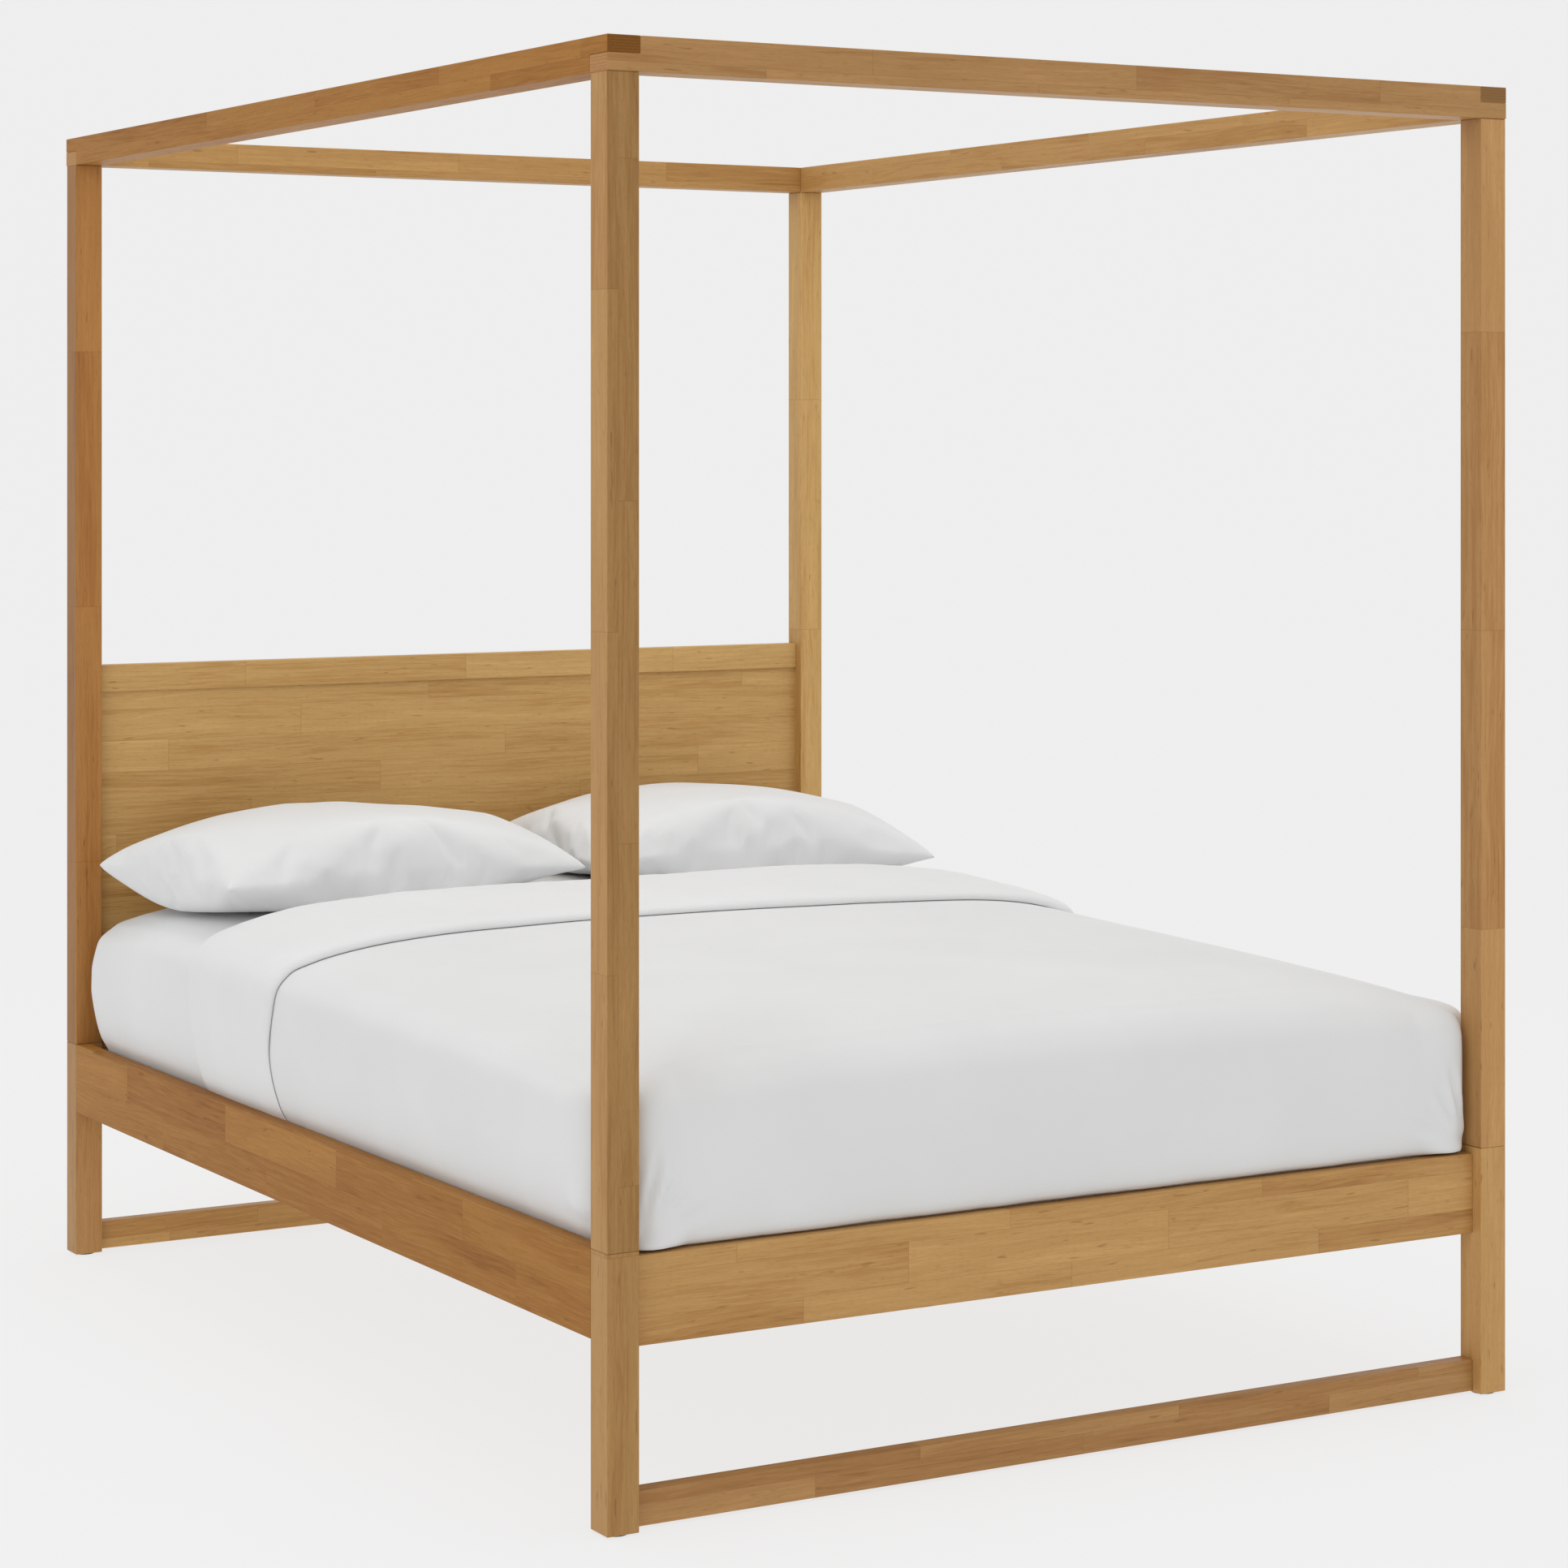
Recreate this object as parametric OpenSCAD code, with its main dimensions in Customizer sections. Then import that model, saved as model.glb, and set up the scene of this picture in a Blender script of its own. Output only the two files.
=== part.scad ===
// Four poster canopy bed of queen size: a solid wood frame with its slats, its joinery
// hardware, its mattress and its bedding. Millimetres, +Z up. The origin is on the floor
// under the bed's centre. +Y points to the head, so the foot is at -Y and left is -X.

/* [Overall size] */
// Width across the outer faces of the posts
bed_w = 1600; // [1590:2:1640]
// Length across the outer faces of the posts
bed_l = 2150; // [2140:2:2200]
// Height of the canopy's top face
bed_h = 2060; // [1800:10:2300]

/* [Posts and canopy] */
// Side of a square post
post_s = 50; // [48:1:60]
// Height of a canopy rail
canopy_h = 50; // [40:2:60]
// How far a canopy rail stands out from a post's face
canopy_lip = 1; // [0:0.5:3]

/* [Bed rails] */
// Thickness of every rail between the posts
rail_t = 28; // [26:1:29]
// Height of the side, foot and head rails
rail_h = 125; // [110:5:160]
// Height of the side rails' lower edge
side_rail_z = 265; // [240:1:300]
// Height of the foot and head rails' lower edge
end_rail_z = 254; // [230:1:256]
// Set-back of the foot rail and foot stretcher from the foot posts' outer face
foot_setback = 20; // [10:1:22]
// Set-back of the headboard and head stretcher from the head posts' inner face
head_setback = 18; // [10:1:22]
// Height of a stretcher
stretcher_h = 50; // [40:2:80]
// Height of the stretchers' lower edge
stretcher_z = 5; // [4:1:60]

/* [Headboard] */
// Height of the headboard's top edge
headboard_top = 1086; // [950:2:1300]
// Height of the headboard's cap rail
cap_h = 50; // [40:2:80]
// Thickness of the headboard's panel
panel_t = 16; // [12:1:18]

/* [Slats and support] */
// Number of slats
slat_count = 12; // [10:1:14]
// Width of a slat
slat_w = 100; // [60:5:110]
// Thickness of a slat
slat_t = 18; // [15:1:20]
// Side of a slat ledger's square section
ledger_s = 25; // [22:1:26]
// Width of the centre beam
beam_w = 60; // [45:5:80]
// Side of the centre leg
leg_s = 45; // [40:1:60]

/* [Mattress and pillows] */
// Width of the mattress
mattress_w = 1524; // [1500:2:1526]
// Length of the mattress
mattress_l = 2032; // [1900:2:2034]
// Thickness of the mattress at its crown
mattress_t = 368; // [200:2:380]
// Width of a pillow
pillow_w = 740; // [660:10:745]
// Depth of a pillow, from its foot side to its head side
pillow_d = 470; // [400:10:480]
// Thickness of a pillow at its middle
pillow_t = 156; // [120:2:180]

/* [Hidden] */
$fn = 48;
EPS = 0.01;
FAR = 4000;

// Frame
glide_t = 3;
post_top = bed_h - canopy_h;
post_x = bed_w / 2 - post_s;
post_y = bed_l / 2 - post_s;
post_mid_x = bed_w / 2 - post_s / 2;
post_mid_y = bed_l / 2 - post_s / 2;
canopy_w = post_s + 2 * canopy_lip;
canopy_out_x = bed_w / 2 + canopy_lip;
canopy_out_y = bed_l / 2 + canopy_lip;
lap_h = canopy_h / 2;
foot_rail_y = -bed_l / 2 + foot_setback;
head_rail_y = post_y + head_setback;
side_rail_in = bed_w / 2 - rail_t;
side_rail_mid = bed_w / 2 - rail_t / 2;
panel_y = head_rail_y + (rail_t - panel_t) / 2;
groove_d = 9;

// The joint between a lower and an upper post, level with the side rails' top
split_z = side_rail_z + rail_h;
pin_r = 5;
pin_l = 90;
pin_shift = 10;

// Tenons
tenon_l = 30;
tenon_t = 12;
rail_tenon_h = 95;
slim_tenon_h = 30;

// Slat support
ledger_z = side_rail_z + 2;
slat_z = ledger_z + ledger_s;
slat_top = slat_z + slat_t;
slat_gap = 2;
ledger_l = 2 * post_y - 20;
slat_end_y = ledger_l / 2 - slat_w / 2;
slat_pitch = 2 * slat_end_y / (slat_count - 1);
hanger_t = 2.5;
hanger_z = end_rail_z + 0.5;
hanger_reach = 50;
hanger_ear = 22;
hanger_h = 36;
beam_z = hanger_z + hanger_t;
beam_end_foot = foot_rail_y + rail_t + hanger_t;
beam_end_head = head_rail_y - hanger_t;
leg_z = 25;
foot_travel = 10;

// Bed rail hooks
plate_w = 16;
plate_h = 100;
plate_t = 2.5;
plate_screw_z = 42;
hook_z = 20;
hook_t = 3;
hook_h = 14;
hook_drop = 8;
hook_lip = 4;
slot_w = 5;
slot_h = 28;
pocket_w = 9;
pocket_h = 34;
pocket_d = 10;
plate_z = side_rail_z + rail_h / 2;

// Fasteners
screw_r = 2;
screw_head_r = 3.5;
screw_head_t = 2;
wood_screw_r = 2.25;
wood_screw_head_r = 4.5;
wood_screw_head_t = 3;
ledger_screws_per_side = 7;
ledger_screw_inset = 80;
ledger_screw_l = 40;
slat_screw_l = 30;
plate_screw_l = 26;
hanger_screw_l = 20;
bolt_r = 4;
bolt_head_r = 9;
bolt_head_t = 3;
insert_r = 6;
insert_l = 22;
dowel_r = 4;
dowel_l = 50;
dowel_offset = 14;
bolt_offset = 6;
stem_gap = 0.05;
pad_r = 20;
pad_t = 8;
nut_r = 7.5;
nut_t = 6.8;
stem_top = 60;
glide_r = 18;
glide_pin_r = 1.5;
glide_pin_l = 12;

// Soft goods
bulge = 22;
bulge_z = side_rail_z + rail_h + 11;
shoulder_r = 66;
crown_r = 7200;
foot_bulge = 24;
foot_bulge_w = post_x - 18;
tuck_z = bulge_z - 60;
mattress_gap = 0.3;
sheet_g = 2;
coverlet_g = 5;
cuff_g = 9;
cuff_y0 = 115;
cuff_y1 = 400;
pillow_gap = 2;
pillow_rim = 12;
pillow_x = 388;
pillow_left_y = 748;
pillow_right_y = 775;
pillow_left_turn = 6;
pillow_case_t = 1.5;

WOOD = [0.67, 0.49, 0.30];
PINE = [0.85, 0.72, 0.52];
STEEL = [0.66, 0.67, 0.69];
BLACK = [0.12, 0.12, 0.13];
LINEN = [0.92, 0.92, 0.92];

function two(n) = n < 10 ? str("0", n) : str(n);
SLATS = [for (i = [1:slat_count]) str("slat_", two(i))];

// ---- Helpers ----

// A box given by its low and high corners
module box(low, high) {
    translate(low) cube(high - low);
}

// A cylinder whose axis runs along +X or +Y from its start point
module rod_x(start, r, l) {
    translate(start) rotate([0, 90, 0]) cylinder(r = r, h = l);
}

module rod_y(start, r, l) {
    translate(start) rotate([-90, 0, 0]) cylinder(r = r, h = l);
}

// Repeats a left-hand part on the right as well
module both_sides() {
    children();
    mirror([1, 0, 0]) children();
}

// ---- Rails with tenons ----

// The tenon of a rail between two posts, drawn right across the bed
module tenon_bar(y, z, h, tenon_h) {
    box([-post_x - tenon_l, y + (rail_t - tenon_t) / 2, z + (h - tenon_h) / 2],
        [post_x + tenon_l, y + (rail_t + tenon_t) / 2, z + (h + tenon_h) / 2]);
}

module tenoned_rail(y, z, h, tenon_h) {
    box([-post_x, y, z], [post_x, y + rail_t, z + h]);
    tenon_bar(y, z, h, tenon_h);
}

// The groove that holds the headboard's panel, drawn as the panel's own size
module panel_form() {
    box([-post_x - groove_d, panel_y, end_rail_z + rail_h - groove_d],
        [post_x + groove_d, panel_y + panel_t, headboard_top - cap_h + groove_d]);
}

// ---- Bed rail hooks, drawn at the left side's foot corner ----

// The set at one corner has its rail end in the plane y = 0, with the rail at +Y
module at_corner(side, end) {
    mirror([side > 0 ? 1 : 0, 0, 0]) mirror([0, end > 0 ? 1 : 0, 0])
        translate([-side_rail_mid, -post_y, plate_z]) children();
}

module at_all_corners() {
    for (side = [-1, 1], end = [-1, 1]) at_corner(side, end) children();
}

// The two screws of a plate whose outer face is at y, driven towards direction
module plate_screws_at(y, direction) {
    for (z = [-plate_screw_z, plate_screw_z]) {
        rod_y([0, direction > 0 ? y : y - plate_screw_l, z], screw_r, plate_screw_l);
        rod_y([0, direction > 0 ? y : y - screw_head_t, z], screw_head_r, screw_head_t);
    }
}

module hook_plate_blank() {
    box([-plate_w / 2, 0, -plate_h / 2], [plate_w / 2, plate_t, plate_h / 2]);
}

module keeper_plate_blank() {
    box([-plate_w / 2, -plate_t, -plate_h / 2], [plate_w / 2, 0, plate_h / 2]);
}

module hook_plate() {
    lip_y = -plate_t - 0.2;
    difference() {
        union() {
            hook_plate_blank();
            for (z = [-hook_z, hook_z]) {
                box([-hook_t / 2, lip_y - hook_lip, z - 3], [hook_t / 2, plate_t, z - 3 + hook_h]);
                box([-hook_t / 2, lip_y - hook_lip, z - 3 - hook_drop],
                    [hook_t / 2, lip_y, z - 3 + hook_h]);
            }
        }
        plate_screws_at(0, 1);
    }
}

module keeper_plate() {
    difference() {
        keeper_plate_blank();
        for (z = [-hook_z, hook_z])
            box([-slot_w / 2, -plate_t - 1, z - slot_h / 2], [slot_w / 2, 1, z + slot_h / 2]);
        plate_screws_at(0, -1);
    }
}

module rail_end_cut() {
    hook_plate_blank();
    plate_screws_at(0, 1);
}

module post_face_cut() {
    keeper_plate_blank();
    plate_screws_at(0, -1);
    for (z = [-hook_z, hook_z])
        box([-pocket_w / 2, -plate_t - pocket_d, z - pocket_h / 2],
            [pocket_w / 2, -plate_t + EPS, z + pocket_h / 2]);
}

module rail_hook_plates() {
    color(STEEL) at_all_corners() hook_plate();
}

module post_keeper_plates() {
    color(STEEL) at_all_corners() keeper_plate();
}

module hook_plate_screws() {
    color(STEEL) at_all_corners() plate_screws_at(0, 1);
}

module keeper_plate_screws() {
    color(STEEL) at_all_corners() plate_screws_at(0, -1);
}

// ---- Canopy hardware: one bolt and one dowel through each lapped corner ----

module canopy_bolt_at(side, end, r, z0, z1) {
    translate([side * (post_mid_x - bolt_offset), end * (post_mid_y - bolt_offset), z0])
        cylinder(r = r, h = z1 - z0);
}

module canopy_dowel_at(side, end) {
    translate([side * (post_mid_x + dowel_offset), end * (post_mid_y + dowel_offset),
               post_top + lap_h - dowel_l])
        cylinder(r = dowel_r, h = dowel_l);
}

module canopy_bolt_form(side, end) {
    canopy_bolt_at(side, end, bolt_r, post_top - insert_l, bed_h - bolt_head_t);
    canopy_bolt_at(side, end, bolt_head_r, bed_h - bolt_head_t, bed_h);
}

module canopy_bolts() {
    color(STEEL) for (side = [-1, 1], end = [-1, 1]) difference() {
        canopy_bolt_form(side, end);
        translate([side * (post_mid_x - bolt_offset), end * (post_mid_y - bolt_offset),
                   bed_h - bolt_head_t + 0.5])
            cylinder(r = 2.9, h = bolt_head_t, $fn = 6);
    }
}

module canopy_dowels() {
    color(PINE) for (side = [-1, 1], end = [-1, 1]) canopy_dowel_at(side, end);
}

// ---- Canopy rails: half-lapped at the corners, with the side rails on top ----

module canopy_rail_side(side) {
    mid = side * post_mid_x;
    color(WOOD) difference() {
        box([mid - canopy_w / 2, -canopy_out_y, post_top],
            [mid + canopy_w / 2, canopy_out_y, bed_h]);
        for (end = [-1, 1]) {
            translate([mid, end * post_mid_y, post_top + lap_h / 2 - 1])
                cube([canopy_w + 2, canopy_w, lap_h + 2], center = true);
            canopy_bolt_form(side, end);
        }
    }
}

module canopy_rail_end(end) {
    mid = end * post_mid_y;
    color(WOOD) difference() {
        box([-canopy_out_x, mid - canopy_w / 2, post_top],
            [canopy_out_x, mid + canopy_w / 2, bed_h]);
        for (side = [-1, 1]) {
            translate([side * post_mid_x, mid, bed_h - lap_h / 2 + 1])
                cube([canopy_w, canopy_w + 2, lap_h + 2], center = true);
            canopy_bolt_form(side, end);
            canopy_dowel_at(side, end);
        }
    }
}

// ---- Posts ----

module post_blank(side, end, z0, z1) {
    translate([side * post_mid_x - post_s / 2, end * post_mid_y - post_s / 2, z0])
        cube([post_s, post_s, z1 - z0]);
}

// The pin is set towards the foot, clear of the rails' mortises at both ends
module post_pin_at(side, end) {
    translate([side * post_mid_x, end * post_mid_y - pin_shift, split_z - pin_l / 2])
        cylinder(r = pin_r, h = pin_l);
}

module post_pins() {
    color(STEEL) for (side = [-1, 1], end = [-1, 1]) post_pin_at(side, end);
}

module lower_post_blank(side, end) {
    difference() {
        post_blank(side, end, glide_t, split_z);
        at_corner(side, end) post_face_cut();
        post_pin_at(side, end);
        glide_pin(side, end);
    }
}

module upper_post_blank(side, end) {
    difference() {
        post_blank(side, end, split_z, post_top);
        post_pin_at(side, end);
        canopy_bolt_at(side, end, insert_r, post_top - insert_l, post_top + 1);
        canopy_dowel_at(side, end);
    }
}

module lower_post_foot(side) {
    color(WOOD) difference() {
        lower_post_blank(side, -1);
        tenon_bar(foot_rail_y, end_rail_z, rail_h, rail_tenon_h);
        tenon_bar(foot_rail_y, stretcher_z, stretcher_h, slim_tenon_h);
    }
}

module upper_post_foot(side) {
    color(WOOD) upper_post_blank(side, -1);
}

module lower_post_head(side) {
    color(WOOD) difference() {
        lower_post_blank(side, 1);
        tenon_bar(head_rail_y, end_rail_z, rail_h, rail_tenon_h);
        tenon_bar(head_rail_y, stretcher_z, stretcher_h, slim_tenon_h);
        panel_form();
    }
}

module upper_post_head(side) {
    color(WOOD) difference() {
        upper_post_blank(side, 1);
        tenon_bar(head_rail_y, headboard_top - cap_h, cap_h, slim_tenon_h);
        panel_form();
    }
}

module glide_pin(side, end) {
    translate([side * post_mid_x, end * post_mid_y, glide_t - EPS])
        cylinder(r = glide_pin_r, h = glide_pin_l);
}

module post_glides() {
    color(BLACK) for (side = [-1, 1], end = [-1, 1]) {
        translate([side * post_mid_x, end * post_mid_y, 0]) cylinder(r = glide_r, h = glide_t);
        glide_pin(side, end);
    }
}

// ---- Headboard, foot rail and stretchers ----

module headboard_cap_rail() {
    color(WOOD) difference() {
        tenoned_rail(head_rail_y, headboard_top - cap_h, cap_h, slim_tenon_h);
        panel_form();
    }
}

module headboard_panel() {
    color(WOOD) panel_form();
}

module headboard_lower_rail() {
    color(WOOD) difference() {
        tenoned_rail(head_rail_y, end_rail_z, rail_h, rail_tenon_h);
        panel_form();
        at_hanger_screws(1) hanger_screw();
    }
}

module head_stretcher() {
    color(WOOD) tenoned_rail(head_rail_y, stretcher_z, stretcher_h, slim_tenon_h);
}

module foot_rail() {
    color(WOOD) difference() {
        tenoned_rail(foot_rail_y, end_rail_z, rail_h, rail_tenon_h);
        at_hanger_screws(-1) hanger_screw();
    }
}

module foot_stretcher() {
    color(WOOD) tenoned_rail(foot_rail_y, stretcher_z, stretcher_h, slim_tenon_h);
}

// ---- Side rails and slat ledgers ----

module side_rail(side) {
    color(WOOD) difference() {
        mirror([side > 0 ? 1 : 0, 0, 0])
            box([-bed_w / 2, -post_y, side_rail_z], [-side_rail_in, post_y, side_rail_z + rail_h]);
        for (end = [-1, 1]) at_corner(side, end) rail_end_cut();
        ledger_screw_set(side);
    }
}

module ledger_screw_set(side) {
    pitch = (ledger_l - 2 * ledger_screw_inset) / (ledger_screws_per_side - 1);
    inner = side_rail_in - ledger_s;
    mirror([side > 0 ? 1 : 0, 0, 0]) for (i = [0:ledger_screws_per_side - 1]) {
        start = [-inner, -ledger_l / 2 + ledger_screw_inset + i * pitch, ledger_z + ledger_s / 2 - 3];
        rod_x(start - [ledger_screw_l, 0, 0], wood_screw_r, ledger_screw_l);
        rod_x(start - [wood_screw_head_t, 0, 0], wood_screw_head_r, wood_screw_head_t);
    }
}

module slat_ledger(side) {
    color(PINE) difference() {
        mirror([side > 0 ? 1 : 0, 0, 0])
            box([-side_rail_in, -ledger_l / 2, ledger_z],
                [-side_rail_in + ledger_s, ledger_l / 2, slat_z]);
        ledger_screw_set(side);
        for (i = [0:slat_count - 1]) slat_screw(side, i);
    }
}

module ledger_screws() {
    color(STEEL) for (side = [-1, 1]) ledger_screw_set(side);
}

// ---- Slats ----

function slat_y(i) = -slat_end_y + i * slat_pitch;

module slat_screw(side, i) {
    translate([side * (side_rail_in - ledger_s / 2 - 4), slat_y(i), slat_top]) {
        translate([0, 0, -slat_screw_l]) cylinder(r = wood_screw_r, h = slat_screw_l);
        translate([0, 0, -wood_screw_head_t])
            cylinder(r = wood_screw_head_r, h = wood_screw_head_t);
    }
}

module slat_screws() {
    color(STEEL) for (i = [0:slat_count - 1], side = [-1, 1]) slat_screw(side, i);
}

module slat(i) {
    color(PINE) difference() {
        box([-side_rail_in + slat_gap, slat_y(i) - slat_w / 2, slat_z],
            [side_rail_in - slat_gap, slat_y(i) + slat_w / 2, slat_top]);
        for (side = [-1, 1]) slat_screw(side, i);
    }
}

// ---- Centre beam, its hangers and its leg ----

module centre_beam() {
    color(PINE) difference() {
        box([-beam_w / 2, beam_end_foot, beam_z], [beam_w / 2, beam_end_head, slat_z]);
        leg_bolt_form();
    }
}

// One U-shaped hanger on a rail face at y, opening towards direction
module beam_hanger(y, direction) {
    half = beam_w / 2;
    difference() {
        translate([0, y, hanger_z]) mirror([0, direction > 0 ? 0 : 1, 0]) {
            box([-half - hanger_ear, 0, 0], [half + hanger_ear, hanger_t, hanger_h]);
            box([-half - hanger_t, 0, 0], [half + hanger_t, hanger_reach, hanger_t]);
            for (s = [-1, 1]) translate([s * (half + hanger_t / 2), hanger_reach / 2, hanger_h / 2])
                cube([hanger_t, hanger_reach, hanger_h], center = true);
        }
        at_hanger_screws(-direction) hanger_screw();
    }
}

module beam_hangers() {
    color(STEEL) {
        beam_hanger(foot_rail_y + rail_t, 1);
        beam_hanger(head_rail_y, -1);
    }
}

// Each hanger's four screws, with the screw's head at the origin's side away from the rail
module at_hanger_screws(end) {
    face = end > 0 ? head_rail_y : foot_rail_y + rail_t;
    for (s = [-1, 1], z = [9, hanger_h - 9])
        translate([s * (beam_w / 2 + hanger_ear / 2 + 1), face, hanger_z + z])
            mirror([0, end > 0 ? 1 : 0, 0]) children();
}

module hanger_screw() {
    rod_y([0, hanger_t - hanger_screw_l, 0], screw_r, hanger_screw_l);
    rod_y([0, hanger_t, 0], screw_head_r, screw_head_t);
}

module hanger_screws() {
    color(STEEL) for (end = [-1, 1]) at_hanger_screws(end) hanger_screw();
}

module leg_bolt_form() {
    translate([0, 0, beam_z - 55]) cylinder(r = bolt_r, h = 55 + 26);
}

module leg_hanger_bolt() {
    color(STEEL) leg_bolt_form();
}

module leg_insert_form() {
    translate([0, 0, leg_z]) cylinder(r = insert_r, h = insert_l);
}

module centre_leg() {
    color(PINE) difference() {
        box([-leg_s / 2, -leg_s / 2, leg_z], [leg_s / 2, leg_s / 2, beam_z]);
        leg_bolt_form();
        leg_insert_form();
        translate([0, 0, leg_z]) cylinder(r = bolt_r + 0.5, h = stem_top - leg_z + foot_travel + 4);
    }
}

// Five like inserts: one in the top of each post and one in the centre leg's foot
module threaded_inserts() {
    color(STEEL) {
        for (side = [-1, 1], end = [-1, 1]) difference() {
            canopy_bolt_at(side, end, insert_r, post_top - insert_l, post_top);
            canopy_bolt_at(side, end, bolt_r, post_top - insert_l - 1, post_top + 1);
        }
        difference() {
            leg_insert_form();
            translate([0, 0, leg_z - 1]) cylinder(r = bolt_r, h = insert_l + 2);
        }
    }
}

module levelling_foot() {
    color(BLACK) union() {
        rotate_extrude() polygon([[0, 0], [pad_r, 0], [pad_r, pad_t - 4], [pad_r - 4, pad_t],
                                  [0, pad_t]]);
        translate([0, 0, pad_t]) cylinder(r = nut_r, h = nut_t, $fn = 6);
        cylinder(r = bolt_r - stem_gap, h = stem_top);
    }
}

// ---- Mattress and bedding ----

// A rectangle from z0 to z1 with rounded top corners, under a shallow crown
module crowned_profile(half, z0, z1, r) {
    intersection() {
        union() {
            translate([-half, z0]) square([2 * half, z1 - r - z0]);
            translate([-half + r, z0]) square([2 * (half - r), z1 - z0]);
            for (s = [-1, 1]) translate([s * (half - r), z1 - r]) circle(r = r);
        }
        translate([0, z1 - crown_r]) circle(r = crown_r, $fn = 360);
    }
}

// The mattress grown by g on every side: held between the rails, swelling above them
module mattress_form(g) {
    crown = slat_top + mattress_gap + mattress_t + g;
    half_w = mattress_w / 2 + bulge + g;
    half_l = mattress_l / 2 + g;
    foot = mattress_l / 2 + foot_bulge + g;
    box([-mattress_w / 2 - g, -half_l, slat_top + mattress_gap],
        [mattress_w / 2 + g, half_l, bulge_z + 1]);
    intersection() {
        rotate([90, 0, 0]) linear_extrude(height = FAR, center = true)
            crowned_profile(half_w, bulge_z - g, crown, shoulder_r + g);
        rotate([90, 0, 90]) linear_extrude(height = FAR, center = true)
            translate([(half_l - foot) / 2, 0])
                crowned_profile((half_l + foot) / 2, bulge_z - g, crown, shoulder_r + g);
        union() {
            box([-half_w, -half_l, 0], [half_w, half_l, FAR]);
            box([-foot_bulge_w - g, -foot, 0], [foot_bulge_w + g, 0, FAR]);
        }
    }
}

// A cloth layer between two growths of the mattress, from y0 to y1
module bedding_layer(g_in, g_out, y0, y1, z0) {
    intersection() {
        difference() {
            mattress_form(g_out);
            mattress_form(g_in);
        }
        box([-bed_w, y0, z0], [bed_w, y1, FAR]);
    }
}

module mattress() {
    color(LINEN) mattress_form(0);
}

module fitted_sheet() {
    color(LINEN) bedding_layer(0, sheet_g, -bed_l, bed_l, tuck_z);
}

module coverlet() {
    color(LINEN) bedding_layer(sheet_g, coverlet_g, -bed_l, cuff_y1 - 40, tuck_z);
}

module flat_sheet_cuff() {
    color(LINEN) bedding_layer(coverlet_g, cuff_g, cuff_y0, cuff_y1, tuck_z);
}

// ---- Pillows: two crossed lens sections ----

module lens(half, height, rim) {
    h = height / 2;
    a = half + rim;
    r = (a * a + h * h) / (2 * h);
    intersection() {
        translate([0, h - r]) circle(r = r, $fn = 180);
        translate([0, r - h]) circle(r = r, $fn = 180);
        square([2 * half, height], center = true);
    }
}

module pillow_form(shrink) {
    w = pillow_w / 2 - shrink;
    d = pillow_d / 2 - shrink;
    t = pillow_t - 2 * shrink;
    intersection() {
        rotate([90, 0, 0]) linear_extrude(height = FAR, center = true) lens(w, t, pillow_rim);
        rotate([90, 0, 90]) linear_extrude(height = FAR, center = true) lens(d, t, pillow_rim);
    }
}

// Both pillows lie flat on the fitted sheet, the left one turned a little
module at_pillow(side) {
    crown = slat_top + mattress_gap + mattress_t + sheet_g;
    bed_top = crown - pow(pillow_x, 2) / (2 * crown_r);
    y = side < 0 ? pillow_left_y : pillow_right_y;
    translate([side * pillow_x, y, bed_top + pillow_gap + pillow_t / 2])
        rotate([0, 0, side < 0 ? pillow_left_turn : 0]) children();
}

module pillow(side) {
    color(LINEN) at_pillow(side) pillow_form(pillow_case_t);
}

module pillowcase(side) {
    color(LINEN) at_pillow(side) difference() {
        pillow_form(0);
        pillow_form(pillow_case_t);
    }
}

// ---- Nodes ----

lower_post_foot(-1);  // lower_post_foot_left
lower_post_foot(1);  // lower_post_foot_right
lower_post_head(-1);  // lower_post_head_left
lower_post_head(1);  // lower_post_head_right
upper_post_foot(-1);  // upper_post_foot_left
upper_post_foot(1);  // upper_post_foot_right
upper_post_head(-1);  // upper_post_head_left
upper_post_head(1);  // upper_post_head_right
post_pins();
canopy_rail_side(-1);  // canopy_rail_left
canopy_rail_side(1);  // canopy_rail_right
canopy_rail_end(-1);  // canopy_rail_foot
canopy_rail_end(1);  // canopy_rail_head
canopy_bolts();
canopy_dowels();
threaded_inserts();
headboard_cap_rail();
headboard_panel();
headboard_lower_rail();
head_stretcher();
foot_rail();
foot_stretcher();
side_rail(-1);  // side_rail_left
side_rail(1);  // side_rail_right
rail_hook_plates();
post_keeper_plates();
hook_plate_screws();
keeper_plate_screws();
slat_ledger(-1);  // slat_ledger_left
slat_ledger(1);  // slat_ledger_right
ledger_screws();
slat_screws();
centre_beam();
beam_hangers();
hanger_screws();
centre_leg();
leg_hanger_bolt();
levelling_foot();
post_glides();
mattress();
fitted_sheet();
coverlet();
flat_sheet_cuff();
pillow(-1);  // pillow_left
pillow(1);  // pillow_right
pillowcase(-1);  // pillowcase_left
pillowcase(1);  // pillowcase_right
for (i = [0:slat_count - 1]) slat(i);
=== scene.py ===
import math

import bmesh
import bpy
import numpy as np
from mathutils import Matrix, Vector, noise


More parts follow.
